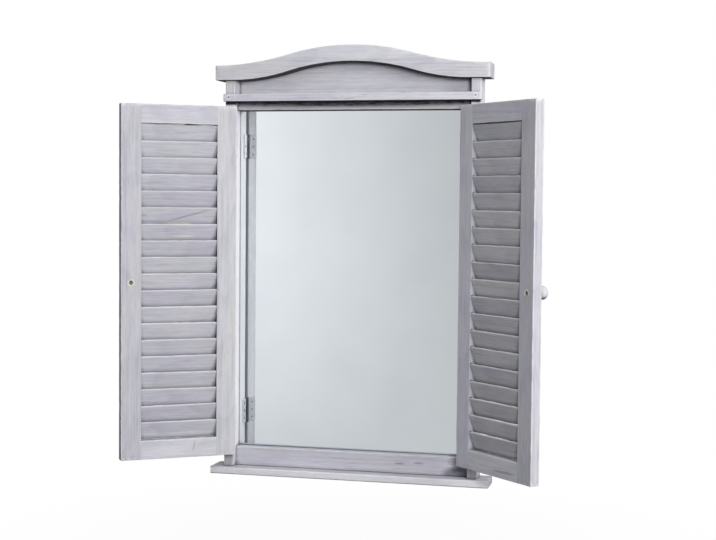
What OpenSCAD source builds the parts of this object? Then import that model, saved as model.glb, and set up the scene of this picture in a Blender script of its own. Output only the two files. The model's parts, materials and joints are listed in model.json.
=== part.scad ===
// Wall mirror with a pair of louvred shutters, built like a small window:
// two posts, a sill, an arched crown, a rail under the glass and a lintel over
// it, and two shutters that swing on butt hinges.
//
// Frame: X to the viewer's right, Y into the wall (the wall is the plane
// y = 0), Z up. The origin is midway between the two hanger holes, on the
// wall. Heights named *_h are measured from the sill's underside.

/* [Overall] */
// Height from the sill's underside to the top of the arch
total_h = 710; // [700:1:725]
// Clear width between the two posts
opening_w = 396; // [386:2:410]
// Height of the hanger holes above the sill's underside
hanger_h = 648; // [642:1:656]
// Distance between the two hanger holes
hanger_spacing = 300; // [240:5:320]

/* [Posts and sill] */
// Width of a post
post_w = 16; // [14:1:20]
// Depth of a post, from the wall to its front
post_d = 38; // [36:1:40]
// Length of the sill
sill_w = 468; // [450:2:490]
// Depth of the sill
sill_d = 50; // [46:1:60]
// Thickness of the sill
sill_t = 12; // [10:1:16]
// Radius of the sill's eased front edges
sill_edge_r = 2.5; // [1:0.5:4]

/* [Rail, lintel and glass] */
// Distance from the wall to the front of the bottom rail and the lintel
inner_d = 24; // [22:0.5:24]
// Height of the bottom rail's top edge
rail_top_h = 43.5; // [42:0.5:46]
// Height of the lintel's lower edge
lintel_h = 606.5; // [604:0.5:608]
// Distance from the wall to the face of the glass
glass_d = 7; // [6.5:0.5:9]
// Thickness of the mirror glass
glass_t = 3; // [2:0.5:4]
// Thickness of the back board
board_t = 2.5; // [2:0.5:2.5]
// Depth of the rebate that the glass sits in, beyond the visible edge
rebate = 4.5; // [3:0.5:6]

/* [Crown] */
// Height of the ledge's underside
ledge_h = 620; // [618:0.5:622]
// Thickness of the ledge
ledge_t = 12.5; // [9:0.5:14]
// Length of the ledge
ledge_w = 431; // [429:1:436]
// Distance from the wall to the front of the ledge and the arch
crown_d = 46; // [44:0.5:50]
// Length of the arched beam
arch_w = 458; // [440:2:470]
// Height of the arched beam's underside at its ends
arch_foot_h = 655; // [652:0.5:660]
// Height of the arched beam's top at its ends
arch_ear_h = 679; // [674:0.5:684]
// Radius of the arch's crest
crest_r = 395; // [350:5:395]
// Radius of the hollows where the crest runs out into the ends
hollow_r = 465; // [240:5:465]
// Height of the arched beam in the middle
arch_band = 26.2; // [24:0.2:29]
// Distance from the wall to the crown panel's face
panel_d = 11; // [10:0.5:14]

/* [Shutters] */
// Height of a shutter
shutter_h = 575; // [560:1:578]
// Height of a shutter's lower edge
shutter_foot_h = 35.5; // [34:0.5:38]
// Thickness of a shutter
shutter_t = 16; // [15:0.5:17]
// Width of a shutter's stiles
stile_w = 33; // [28:0.5:38]
// Width of a shutter's rails
rail_w = 31; // [27:0.5:36]
// Number of slats in a shutter
slat_count = 19; // [17:1:19]
// Width of a slat across its grain
slat_chord = 31.5; // [29:0.5:31.5]
// Thickness of a slat
slat_t = 4.5; // [4:0.5:5]
// Lean of the slats from upright, in degrees
slat_lean = 20; // [15:0.5:21]
// Angle by which the left shutter stands open
left_open = 145; // [0:5:180]
// Angle by which the right shutter stands open
right_open = 135; // [0:5:180]
// Gap between the two closed shutters
meeting_gap = 3; // [1.5:0.5:5]

/* [Hinges] */
// Height of a hinge leaf
leaf_h = 40; // [36:1:50]
// Thickness of a hinge leaf
leaf_t = 1.2; // [1:0.1:1.2]
// Radius of a hinge's barrel
barrel_r = 2.4; // [2.2:0.1:2.4]
// Radius of a hinge's pin
hinge_pin_r = 1.2; // [1:0.05:1.2]
// Running clearance between pin and knuckle, on the radius
pin_play = 0.04; // [0.02:0.01:0.08]
// Distance from a shutter's end to the middle of its hinge
hinge_inset = 62; // [50:1:90]
// Distance between a post's side and the hinge axis
post_gap = 2.6; // [2.6:0.1:3]
// Distance between a shutter's edge and its hinge axis
edge_gap = 2; // [1.8:0.1:2.4]

/* [Knobs] */
// Diameter of a knob's head
knob_d = 21; // [18:0.5:24]
// How far a knob stands out from the shutter
knob_l = 22; // [18:0.5:26]

/* [Hidden] */

// Colours
paint = [0.78, 0.77, 0.80];
paint_shade = [0.70, 0.70, 0.75];
slat_paint = [0.72, 0.72, 0.77];
silvered = [0.80, 0.85, 0.86];
hardboard = [0.50, 0.36, 0.24];
steel = [0.72, 0.73, 0.75];
beech = [0.80, 0.66, 0.48];

// Roundness of turned and drilled surfaces
round_fn = 32;
fine_fn = 96;
// Overlap that lets a cut run clean through a face
cut = 1;
// Play round a slat's end in its slot, and round a screw in its hole
slot_play = 0.1;
screw_play = 0.04;

// Heights and depths in the part's own frame
function up(h) = h - hanger_h;
post_x = opening_w / 2;
post_top_h = arch_foot_h;
ledge_top_h = ledge_h + ledge_t;
// The lintel ends and the panel starts here, behind the ledge and below the hanger plates
panel_foot_h = 631;
glass_w = 2 * (post_x + rebate);
glass_h0 = rail_top_h - rebate;
glass_h1 = lintel_h + rebate;

// Arch outline
ear_x = arch_w / 2;
arc_steps = 24;
lower_hollow_r = 325;

// Joinery
tenon_l = 14;
tenon_t = 6;
tenon_shoulder = 6;
dowel_r = 3;
dowel_l = 24;
crown_dowel_r = 4;
crown_dowel_l = 30;

// Wood screws: [shank radius, length under the head, head radius, head height]
leaf_screw = [1.2, 12, 2.4, 1.2];
hanger_screw = [1.5, 9, 2.9, 1.4];
sill_screw = [2, 38, 4, 2.4];
sill_screw_y = -28;
panel_screw = [1.75, 22, 3.5, 2];
knob_screw = [1.9, 23, 3.8, 2.2];

// Hinge axes, and the closed shutters' place behind them, clear of the rail and lintel
face_gap = 2.4;
stop_gap = 0.5;
axis_x = post_x - post_gap;
axis_y = -(inner_d + stop_gap + shutter_t + face_gap);
shutter_w = axis_x - edge_gap - meeting_gap / 2;
leaf_near = 3.5;
leaf_far = face_gap + shutter_t - 1;
knuckle_gap = 0.3;
knuckle_h = (leaf_h - 2 * knuckle_gap) / 3;
pin_head_r = 1.9;
pin_head_h = 1;
leaf_screw_w = (leaf_near + leaf_far) / 2;
hinge_hs = [shutter_foot_h + hinge_inset, shutter_foot_h + shutter_h - hinge_inset];
leaf_hole_zs = [-13, 0, 13];

// Slats, in the shutter's own opening
slot_depth = 4;
stile_u0 = edge_gap;
stile_u1 = edge_gap + shutter_w;
opening_u0 = stile_u0 + stile_w;
opening_u1 = stile_u1 - stile_w;
slat_mid_w = face_gap + shutter_t / 2;
slat_rise = (slat_chord - slat_t) * cos(slat_lean) + slat_t;
slat_end_gap = 0.3;
slat_h0 = shutter_foot_h + rail_w + slat_end_gap + slat_rise / 2;
slat_h1 = shutter_foot_h + shutter_h - rail_w - slat_end_gap - slat_rise / 2;
slat_pitch = (slat_h1 - slat_h0) / (slat_count - 1);
slat_hs = [for (i = [0 : slat_count - 1]) slat_h0 + i * slat_pitch];

// Knobs
knob_u = stile_u1 - stile_w / 2;
knob_h = shutter_foot_h + shutter_h / 2;
knob_neck_r = 5.2;
knob_foot_r = 7.5;

// Hangers: a plate with a keyhole, over a pocket for the head of the wall screw
plate_w = 16;
plate_l = 42;
plate_t = 1;
keyhole_r = 5;
keyhole_slot_w = 5;
keyhole_slot_l = 10;
plate_screw_dz = 17;
plate_mid_dz = 5;
pocket_r = 6.5;
pocket_d = 8;

// Nails, screws and brads, as [x, height]
nail_r = 1.2;
nail_head_r = 1.9;
nail_l = 22;
nail_h = ledge_h + ledge_t / 2 + 1;
panel_screw_inner_x = 80;
panel_screw_outer_x = 221;
brad_r = 0.6;
brad_l = 9;
brad_xs = [-120, 0, 120];
brad_hs = [130, 325, 520];

// ---------------------------------------------------------------- helpers

module both_sides() {
    children();
    mirror([1, 0, 0]) children();
}

// Box between two opposite corners
module span(a, b) {
    translate(a) cube(b - a);
}

// A countersunk screw that enters along +Z from the surface z = 0
module screw(s, play = 0) {
    rotate_extrude($fn = round_fn)
        polygon([
            [0, 0], [s[2] + play, 0], [s[0] + play, s[3]],
            [s[0] + play, s[1]], [0, s[1]]
        ]);
}

// A screw's hole, which is a little wider and runs out of the surface
module screw_hole(s) {
    screw(s, screw_play);
    translate([0, 0, -cut]) cylinder(h = cut + 0.001, r = s[2] + screw_play, $fn = round_fn);
}

// A plain round hole for the stretch of a screw's shank beyond z0
module shank_hole(s, z0) {
    translate([0, 0, z0]) cylinder(h = s[1] - z0, r = s[0] + screw_play, $fn = round_fn);
}

// The four ways that screws and dowels point
module into_wall() { rotate([-90, 0, 0]) children(); }
module out_of_wall() { rotate([90, 0, 0]) children(); }
module to_right() { rotate([0, 90, 0]) children(); }
module to_left() { rotate([0, -90, 0]) children(); }

// ------------------------------------------------------------ posts, sill

module sill_screw_places() {
    both_sides() translate([post_x + post_w / 2, sill_screw_y, up(0)]) children();
}

module crown_dowel_places() {
    both_sides()
        translate([post_x + post_w / 2, -(post_d + panel_d) / 2, up(arch_foot_h) - crown_dowel_l / 2])
            children();
}

// Dowels that tie the bottom rail and the lintel to the posts
module frame_dowel_places() {
    both_sides()
        for (h = [(sill_t + rail_top_h) / 2, (lintel_h + panel_foot_h) / 2])
            translate([post_x - dowel_l / 2, -(inner_d + glass_d) / 2, up(h)])
                to_right() children();
}

// Hinges on the right-hand post, seen from the hinge axis
module post_hinge_places() {
    for (h = hinge_hs) translate([axis_x, axis_y, up(h)]) children();
}

module post() {
    difference() {
        span([post_x, -post_d, up(sill_t)], [post_x + post_w, 0, up(post_top_h)]);
        glass_space();
        brads();
        sill_screw_places() shank_hole(sill_screw, sill_t - cut);
        crown_dowel_places() cylinder(h = crown_dowel_l, r = crown_dowel_r, $fn = round_fn);
        frame_dowel_places() cylinder(h = dowel_l, r = dowel_r, $fn = round_fn);
        post_hinge_places() leaf_screw_places(post_gap) shank_hole(leaf_screw, leaf_t - cut);
        ledge_nail_places() cylinder(h = nail_l, r = nail_r, $fn = round_fn);
    }
}

module right_post() color(paint) post();
module left_post() color(paint) mirror([1, 0, 0]) post();

// The board's section, with its two front edges eased
module sill_section() {
    difference() {
        translate([-sill_d, 0]) square([sill_d, sill_t]);
        for (z = [0, 1])
            translate([-sill_d, z * sill_t]) mirror([0, z]) difference() {
                translate([-cut, -cut]) square(sill_edge_r + cut);
                translate([sill_edge_r, sill_edge_r]) circle(r = sill_edge_r, $fn = round_fn);
            }
    }
}

module sill_board() {
    color(paint) difference() {
        translate([-sill_w / 2, 0, up(0)]) rotate([90, 0, 90])
            linear_extrude(height = sill_w) sill_section();
        sill_screw_places() screw_hole(sill_screw);
    }
}

module sill_screws() color(steel) sill_screw_places() screw(sill_screw);

// ------------------------------------------------- rail, lintel and glass

// The space that the glass and the back board fill, in rebates all round
module glass_space() {
    span([-glass_w / 2, -glass_d, up(glass_h0)], [glass_w / 2, cut, up(glass_h1)]);
}

module bottom_rail() {
    color(paint_shade) difference() {
        span([-post_x, -inner_d, up(sill_t)], [post_x, 0, up(rail_top_h)]);
        glass_space();
        brads();
        frame_dowel_places() cylinder(h = dowel_l, r = dowel_r, $fn = round_fn);
    }
}

module lintel() {
    color(paint_shade) difference() {
        span([-post_x, -inner_d, up(lintel_h)], [post_x, 0, up(panel_foot_h)]);
        glass_space();
        brads();
        frame_dowel_places() cylinder(h = dowel_l, r = dowel_r, $fn = round_fn);
    }
}

module mirror_glass() {
    color(silvered)
        span([-glass_w / 2, -glass_d, up(glass_h0)], [glass_w / 2, glass_t - glass_d, up(glass_h1)]);
}

module back_board() {
    color(hardboard)
        span([-glass_w / 2, glass_t - glass_d, up(glass_h0)],
             [glass_w / 2, glass_t + board_t - glass_d, up(glass_h1)]);
}

// Brads lie flat against the back board, half their length driven into the wood
module brads() {
    brad_y = glass_t + board_t - glass_d + brad_r;
    for (x = brad_xs, h = [glass_h0, glass_h1])
        translate([x, brad_y, up(h) - brad_l / 2]) cylinder(h = brad_l, r = brad_r, $fn = round_fn);
    both_sides() for (h = brad_hs)
        translate([glass_w / 2 - brad_l / 2, brad_y, up(h)]) to_right()
            cylinder(h = brad_l, r = brad_r, $fn = round_fn);
}

module board_brads() color(steel) brads();

module frame_dowels() {
    color(beech) frame_dowel_places() cylinder(h = dowel_l, r = dowel_r, $fn = round_fn);
}

// ------------------------------------------------------------------ crown

// Right half of an ogee, from the middle outwards: an arc over the crest, then
// an arc back to level, tangent to it
function ogee_half(top, foot, crest, hollow) =
    let (
        rise = top - foot,
        end_x = sqrt(2 * rise * (crest + hollow) - rise * rise),
        turn = asin(end_x / (crest + hollow))
    )
    concat(
        [for (i = [0 : arc_steps]) let (a = turn * i / arc_steps)
            [crest * sin(a), top - crest + crest * cos(a)]],
        [for (i = [arc_steps - 1 : -1 : 0]) let (a = turn * i / arc_steps)
            [end_x - hollow * sin(a), foot + hollow - hollow * cos(a)]]
    );

// A whole ogee from left to right, or from right to left
function ogee(half, leftward = false) = concat(
    [for (i = [len(half) - 1 : -1 : 1]) [leftward ? half[i][0] : -half[i][0], half[i][1]]],
    [for (p = half) [leftward ? -p[0] : p[0], p[1]]]
);

upper_ogee = ogee_half(total_h, arch_ear_h, crest_r, hollow_r);
lower_ogee = ogee_half(total_h - arch_band, arch_foot_h, crest_r - arch_band, lower_hollow_r);

// Everything from the arch's top edge down to its ends' underside
module arch_top_outline() {
    polygon(concat(
        ogee(upper_ogee),
        [[ear_x, arch_ear_h], [ear_x, arch_foot_h], [-ear_x, arch_foot_h], [-ear_x, arch_ear_h]]
    ));
}

module arch_outline() {
    polygon(concat(
        ogee(upper_ogee),
        [[ear_x, arch_ear_h], [ear_x, arch_foot_h]],
        ogee(lower_ogee, leftward = true),
        [[-ear_x, arch_foot_h], [-ear_x, arch_ear_h]]
    ));
}

// Stands a flat outline up, from depth d0 at its front to d1 at its back
module upright(d0, d1) {
    translate([0, -d1, up(0)]) out_of_wall() linear_extrude(height = d0 - d1) children();
}

module hanger_places() {
    both_sides() translate([hanger_spacing / 2, 0, 0]) children();
}

// Height of the middle of the arched beam at the distance x from the crest
function band_mid_h(x) =
    let (r = crest_r - arch_band / 2) total_h - crest_r + sqrt(r * r - x * x);

module panel_screw_places() {
    both_sides() {
        translate([panel_screw_inner_x, -plate_t, up(band_mid_h(panel_screw_inner_x))]) children();
        translate([panel_screw_outer_x, -plate_t, up((arch_foot_h + arch_ear_h) / 2)]) children();
    }
}

module crown_arch() {
    color(paint) difference() {
        upright(crown_d, panel_d) arch_outline();
        crown_dowel_places() cylinder(h = crown_dowel_l, r = crown_dowel_r, $fn = round_fn);
        panel_screw_places() out_of_wall() shank_hole(panel_screw, panel_d - plate_t - cut);
    }
}

module crown_panel() {
    color(paint_shade) difference() {
        union() {
            upright(panel_d, plate_t) arch_top_outline();
            span([-post_x, -panel_d, up(panel_foot_h)], [post_x, -plate_t, up(arch_foot_h + cut)]);
        }
        hanger_places() translate([0, -plate_t - pocket_d, 0]) {
            for (dz = [0, keyhole_slot_l]) translate([0, 0, dz]) into_wall()
                cylinder(h = pocket_d + cut, r = pocket_r, $fn = round_fn);
            span([-pocket_r, 0, 0], [pocket_r, pocket_d + cut, keyhole_slot_l]);
        }
        hanger_screw_places() out_of_wall() screw_hole(hanger_screw);
        panel_screw_places() out_of_wall() screw_hole(panel_screw);
    }
}

// A ledge notched round the posts, so that its horns lie across their fronts
module crown_ledge() {
    color(paint) difference() {
        union() {
            span([-ledge_w / 2, -crown_d, up(ledge_h)], [ledge_w / 2, -post_d, up(ledge_top_h)]);
            span([-post_x, -post_d - cut, up(ledge_h)], [post_x, -inner_d, up(ledge_top_h)]);
        }
        ledge_nail_places() cylinder(h = nail_l, r = nail_r, $fn = round_fn);
    }
}

module ledge_nail_places() {
    both_sides() translate([post_x + post_w / 2, -crown_d, up(nail_h)]) into_wall() children();
}

module ledge_nails() {
    color(steel) ledge_nail_places() {
        cylinder(h = nail_l, r = nail_r, $fn = round_fn);
        translate([0, 0, -0.4]) cylinder(h = 0.4, r = nail_head_r, $fn = round_fn);
    }
}

module crown_dowels() {
    color(beech) crown_dowel_places() cylinder(h = crown_dowel_l, r = crown_dowel_r, $fn = round_fn);
}

module panel_screws() color(steel) panel_screw_places() out_of_wall() screw(panel_screw);

// ---------------------------------------------------------------- hangers

module hanger_screw_places() {
    hanger_places() for (dz = [-plate_screw_dz, plate_screw_dz])
        translate([0, 0, plate_mid_dz + dz]) children();
}

module hanger_plate() {
    difference() {
        translate([hanger_spacing / 2, 0, plate_mid_dz]) out_of_wall()
            linear_extrude(height = plate_t) {
                square([plate_w, plate_l - plate_w], center = true);
                for (s = [-1, 1]) translate([0, s * (plate_l - plate_w) / 2])
                    circle(d = plate_w, $fn = round_fn);
            }
        hanger_places() {
            translate([0, -plate_t - cut, 0]) into_wall()
                cylinder(h = plate_t + 2 * cut, r = keyhole_r, $fn = round_fn);
            span([-keyhole_slot_w / 2, -plate_t - cut, 0], [keyhole_slot_w / 2, cut, keyhole_slot_l]);
            translate([0, -plate_t - cut, keyhole_slot_l]) into_wall()
                cylinder(h = plate_t + 2 * cut, d = keyhole_slot_w, $fn = round_fn);
        }
        hanger_screw_places() out_of_wall() screw_hole(hanger_screw);
    }
}

module right_hanger_plate() color(steel) hanger_plate();
module left_hanger_plate() color(steel) mirror([1, 0, 0]) hanger_plate();
module hanger_screws() color(steel) hanger_screw_places() out_of_wall() screw(hanger_screw);

// ----------------------------------------------------------------- hinges
// Each hinge is drawn round its axis, and its wood lies beside it along +X. For
// a shutter leaf that is the left shutter, closed, and for a post leaf it is the
// right-hand post.

// Screws from a leaf into the wood that starts at the distance gap from the axis
module leaf_screw_places(gap) {
    for (z = leaf_hole_zs)
        translate([gap - leaf_t, leaf_screw_w, z]) to_right() children();
}

// A leaf against that wood, with the knuckles that start at zs round the axis
module leaf(gap, zs) {
    difference() {
        union() {
            span([gap - leaf_t, leaf_near, -leaf_h / 2], [gap, leaf_far, leaf_h / 2]);
            for (z = zs) {
                span([gap - leaf_t, 0, z], [gap, leaf_near + 0.1, z + knuckle_h]);
                translate([0, 0, z]) cylinder(h = knuckle_h, r = barrel_r, $fn = round_fn);
            }
        }
        translate([0, 0, -leaf_h]) cylinder(h = 2 * leaf_h, r = hinge_pin_r + pin_play, $fn = round_fn);
        leaf_screw_places(gap) screw_hole(leaf_screw);
    }
}

// The post carries the two outer knuckles, the shutter the middle one
module post_leaf() leaf(post_gap, [-leaf_h / 2, leaf_h / 2 - knuckle_h]);
module shutter_leaf() leaf(edge_gap, [-knuckle_h / 2]);

module hinge_pin() {
    cylinder(h = leaf_h, r = hinge_pin_r, center = true, $fn = round_fn);
    for (s = [0, 1]) mirror([0, 0, s]) translate([0, 0, leaf_h / 2])
        cylinder(h = pin_head_h, r = pin_head_r, $fn = round_fn);
}

// A place on the right-hand or left-hand post at the height h
module at_right_post(h) translate([axis_x, axis_y, up(h)]) children();
module at_left_post(h) mirror([1, 0, 0]) at_right_post(h) children();

module right_upper_post_leaf() color(steel) at_right_post(hinge_hs[1]) post_leaf();
module right_lower_post_leaf() color(steel) at_right_post(hinge_hs[0]) post_leaf();
module left_upper_post_leaf() color(steel) at_left_post(hinge_hs[1]) post_leaf();
module left_lower_post_leaf() color(steel) at_left_post(hinge_hs[0]) post_leaf();
module right_upper_hinge_pin() color(steel) at_right_post(hinge_hs[1]) hinge_pin();
module right_lower_hinge_pin() color(steel) at_right_post(hinge_hs[0]) hinge_pin();
module left_upper_hinge_pin() color(steel) at_left_post(hinge_hs[1]) hinge_pin();
module left_lower_hinge_pin() color(steel) at_left_post(hinge_hs[0]) hinge_pin();

module post_leaf_screws() {
    for (h = hinge_hs) at_right_post(h) leaf_screw_places(post_gap) screw(leaf_screw);
}
module right_post_leaf_screws() color(steel) post_leaf_screws();
module left_post_leaf_screws() color(steel) mirror([1, 0, 0]) post_leaf_screws();

// --------------------------------------------------------------- shutters
// A shutter is drawn round its hinge axis too: u along +X, thickness w along
// +Y from its outer face, heights as elsewhere.

module on_left() {
    translate([-axis_x, axis_y, 0]) rotate([0, 0, -left_open]) children();
}

module on_right() {
    mirror([1, 0, 0]) translate([-axis_x, axis_y, 0]) rotate([0, 0, -right_open]) children();
}

module slat_section(play = 0) {
    reach = (slat_chord - slat_t) / 2;
    rotate([0, 0, -slat_lean]) {
        square([slat_t + 2 * play, 2 * reach], center = true);
        for (s = [-1, 1]) translate([0, s * reach]) circle(r = slat_t / 2 + play, $fn = round_fn);
    }
}

// The slats from u0 to u1: each leans back from its foot to its top
module slat_bars(u0, u1, play = 0) {
    for (h = slat_hs)
        translate([u0, slat_mid_w, up(h)]) rotate([90, 0, 90])
            linear_extrude(height = u1 - u0) slat_section(play);
}

// A rail's stub tenons, which fill the stiles' mortises
module tenons(h) {
    for (side = [0, 1])
        span([side == 0 ? opening_u0 - tenon_l : opening_u1 - cut,
              slat_mid_w - tenon_t / 2, up(h + tenon_shoulder)],
             [side == 0 ? opening_u0 + cut : opening_u1 + tenon_l,
              slat_mid_w + tenon_t / 2, up(h + rail_w - tenon_shoulder)]);
}

rail_hs = [shutter_foot_h, shutter_foot_h + shutter_h - rail_w];

module shutter_rail(h) {
    span([opening_u0, face_gap, up(h)], [opening_u1, face_gap + shutter_t, up(h + rail_w)]);
    tenons(h);
}

module stile(u0) {
    difference() {
        span([u0, face_gap, up(shutter_foot_h)],
             [u0 + stile_w, face_gap + shutter_t, up(shutter_foot_h + shutter_h)]);
        for (h = rail_hs) tenons(h);
        slat_bars(opening_u0 - slot_depth, opening_u1 + slot_depth, slot_play);
        children();
    }
}

module shutter_hinge_places() {
    for (h = hinge_hs) translate([0, 0, up(h)]) children();
}

// From the inner face, out through the stile and into the knob
module knob_screw_place() {
    translate([knob_u, face_gap + shutter_t, up(knob_h)]) out_of_wall() children();
}

module hinge_stile() {
    stile(stile_u0) shutter_hinge_places() leaf_screw_places(edge_gap)
        shank_hole(leaf_screw, leaf_t - cut);
}

module free_stile() {
    stile(opening_u1) knob_screw_place() screw_hole(knob_screw);
}

module slats() slat_bars(opening_u0 - slot_depth, opening_u1 + slot_depth);

// A turned knob: a foot, a waist and a flattened ball
module knob() {
    ball_r = knob_d / 2;
    ball_z = knob_l - ball_r * 0.82;
    difference() {
        translate([knob_u, face_gap, up(knob_h)]) out_of_wall() {
            rotate_extrude($fn = fine_fn) {
                square([knob_foot_r, 2]);
                square([knob_neck_r, ball_z]);
                intersection() {
                    translate([0, ball_z]) circle(r = ball_r, $fn = fine_fn);
                    translate([0, ball_z - ball_r * 0.72]) square([ball_r, ball_r * 1.54]);
                }
            }
        }
        knob_screw_place() shank_hole(knob_screw, shutter_t - cut);
    }
}

module shutter_leaf_screws() shutter_hinge_places() leaf_screw_places(edge_gap) screw(leaf_screw);

module left_hinge_stile() color(paint) on_left() hinge_stile();
module left_free_stile() color(paint) on_left() free_stile();
module left_top_rail() color(paint) on_left() shutter_rail(rail_hs[1]);
module left_bottom_rail() color(paint) on_left() shutter_rail(rail_hs[0]);
module left_slats() color(slat_paint) on_left() slats();
module left_upper_shutter_leaf() color(steel) on_left() translate([0, 0, up(hinge_hs[1])]) shutter_leaf();
module left_lower_shutter_leaf() color(steel) on_left() translate([0, 0, up(hinge_hs[0])]) shutter_leaf();
module left_shutter_leaf_screws() color(steel) on_left() shutter_leaf_screws();
module left_knob() color(paint) on_left() knob();
module left_knob_screw() color(steel) on_left() knob_screw_place() screw(knob_screw);

module right_hinge_stile() color(paint) on_right() hinge_stile();
module right_free_stile() color(paint) on_right() free_stile();
module right_top_rail() color(paint) on_right() shutter_rail(rail_hs[1]);
module right_bottom_rail() color(paint) on_right() shutter_rail(rail_hs[0]);
module right_slats() color(slat_paint) on_right() slats();
module right_upper_shutter_leaf() color(steel) on_right() translate([0, 0, up(hinge_hs[1])]) shutter_leaf();
module right_lower_shutter_leaf() color(steel) on_right() translate([0, 0, up(hinge_hs[0])]) shutter_leaf();
module right_shutter_leaf_screws() color(steel) on_right() shutter_leaf_screws();
module right_knob() color(paint) on_right() knob();
module right_knob_screw() color(steel) on_right() knob_screw_place() screw(knob_screw);

left_post();
right_post();
sill_board();
bottom_rail();
lintel();
crown_arch();
crown_panel();
crown_ledge();
mirror_glass();
back_board();
ledge_nails();
sill_screws();
crown_dowels();
frame_dowels();
panel_screws();
board_brads();
left_hanger_plate();
right_hanger_plate();
hanger_screws();
left_upper_post_leaf();
left_lower_post_leaf();
right_upper_post_leaf();
right_lower_post_leaf();
left_upper_hinge_pin();
left_lower_hinge_pin();
right_upper_hinge_pin();
right_lower_hinge_pin();
left_post_leaf_screws();
right_post_leaf_screws();
left_hinge_stile();
left_free_stile();
left_top_rail();
left_bottom_rail();
left_slats();
left_upper_shutter_leaf();
left_lower_shutter_leaf();
left_shutter_leaf_screws();
left_knob();
left_knob_screw();
right_hinge_stile();
right_free_stile();
right_top_rail();
right_bottom_rail();
right_slats();
right_upper_shutter_leaf();
right_lower_shutter_leaf();
right_shutter_leaf_screws();
right_knob();
right_knob_screw();
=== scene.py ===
"""Wall mirror with louvred shutters: finish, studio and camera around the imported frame.

Every wooden member is rebuilt from its own solid with eased, slightly worn arrises and a
limewashed finish whose grain runs along the member. The knobs are turned anew, and the
screws get heads with a cross recess. All other metal parts, the dowels, the board and the
glass keep their solids and get a finish.
"""
import json
import math

import bmesh
import bpy
from mathutils import Matrix, Vector, noise
from mathutils.kdtree import KDTree


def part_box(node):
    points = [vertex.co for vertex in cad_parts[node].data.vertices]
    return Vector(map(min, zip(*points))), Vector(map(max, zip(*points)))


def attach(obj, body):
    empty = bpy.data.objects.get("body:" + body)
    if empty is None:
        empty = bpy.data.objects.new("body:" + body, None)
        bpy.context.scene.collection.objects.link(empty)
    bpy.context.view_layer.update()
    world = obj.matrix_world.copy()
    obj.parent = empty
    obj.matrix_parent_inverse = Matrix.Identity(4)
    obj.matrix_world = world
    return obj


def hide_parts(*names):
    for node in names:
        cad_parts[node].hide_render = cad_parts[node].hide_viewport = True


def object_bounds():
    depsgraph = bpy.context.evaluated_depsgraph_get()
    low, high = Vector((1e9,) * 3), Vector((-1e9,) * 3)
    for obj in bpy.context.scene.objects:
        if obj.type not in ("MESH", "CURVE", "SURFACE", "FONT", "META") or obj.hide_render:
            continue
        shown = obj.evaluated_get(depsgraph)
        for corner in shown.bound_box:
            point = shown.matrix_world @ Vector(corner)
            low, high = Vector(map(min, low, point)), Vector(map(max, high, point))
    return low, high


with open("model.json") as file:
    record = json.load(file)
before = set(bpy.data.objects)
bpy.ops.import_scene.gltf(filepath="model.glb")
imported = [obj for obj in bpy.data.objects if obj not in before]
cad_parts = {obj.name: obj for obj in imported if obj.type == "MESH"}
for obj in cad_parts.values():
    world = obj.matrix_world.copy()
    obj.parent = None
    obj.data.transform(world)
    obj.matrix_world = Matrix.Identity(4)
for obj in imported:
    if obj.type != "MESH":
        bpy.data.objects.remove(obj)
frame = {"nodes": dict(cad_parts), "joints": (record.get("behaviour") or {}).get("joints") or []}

CAD_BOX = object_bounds()
MM = 0.001
HERE = Matrix.Identity(4)
SIDES = ("left", "right")


def mm(*values):
    """Millimetres as metres."""
    return tuple(value * MM for value in values)


# ------------------------------------------------------------------ camera values

PHOTO_W = 716            # width of the photograph's frame, in pixels
FOCAL_PX = 1430.3        # focal length in the same pixels
CAMERA_AT = (0.5719, -2.2992, -0.1889)
CAMERA_YAW = 13.84       # turned to the left, in degrees
CAMERA_DOWN = 2.80       # tilted down, in degrees
CAMERA_ROLL = 0.507      # in degrees
SENSOR_W = 36.0          # width of the camera's sensor, in millimetres

# ------------------------------------------------------------------ members
# node: (axis of the grain in the member's own frame, material slot, hue of its wash from
# 0, a neutral grey, to 1, a lilac grey, and its tone from 0, the palest, to 1, the darkest)

FIXED_WOOD = {
    "left_post": (2, "painted_wood", 0.4, 0.2),
    "right_post": (2, "painted_wood", 0.7, 0.3),
    "sill_board": (0, "painted_wood", 0.6, 0.5),
    "bottom_rail": (0, "painted_recess", 0.7, 0.5),
    "lintel": (0, "painted_recess", 0.4, 1.0),
    "crown_arch": (0, "painted_wood", 0.6, 0.2),
    "crown_panel": (0, "painted_recess", 0.7, 0.1),
    "crown_ledge": (0, "painted_wood", 0.8, 0.0),
}
SHUTTER_WOOD = {
    "left_hinge_stile": (2, "painted_wood", 0.35, 0.6),
    "left_free_stile": (2, "painted_wood", 0.5, 1.0),
    "left_top_rail": (0, "painted_wood", 0.5, 0.6),
    "left_bottom_rail": (0, "painted_wood", 0.6, 0.3),
    "left_slats": (0, "painted_slat", 0.65, 0.4),
    "right_hinge_stile": (2, "painted_wood", 0.8, 0.4),
    "right_free_stile": (2, "painted_wood", 0.6, 1.0),
    "right_top_rail": (0, "painted_wood", 0.85, 0.7),
    "right_bottom_rail": (0, "painted_wood", 0.8, 0.4),
    "right_slats": (0, "painted_slat", 0.4, 0.4),
}

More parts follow.
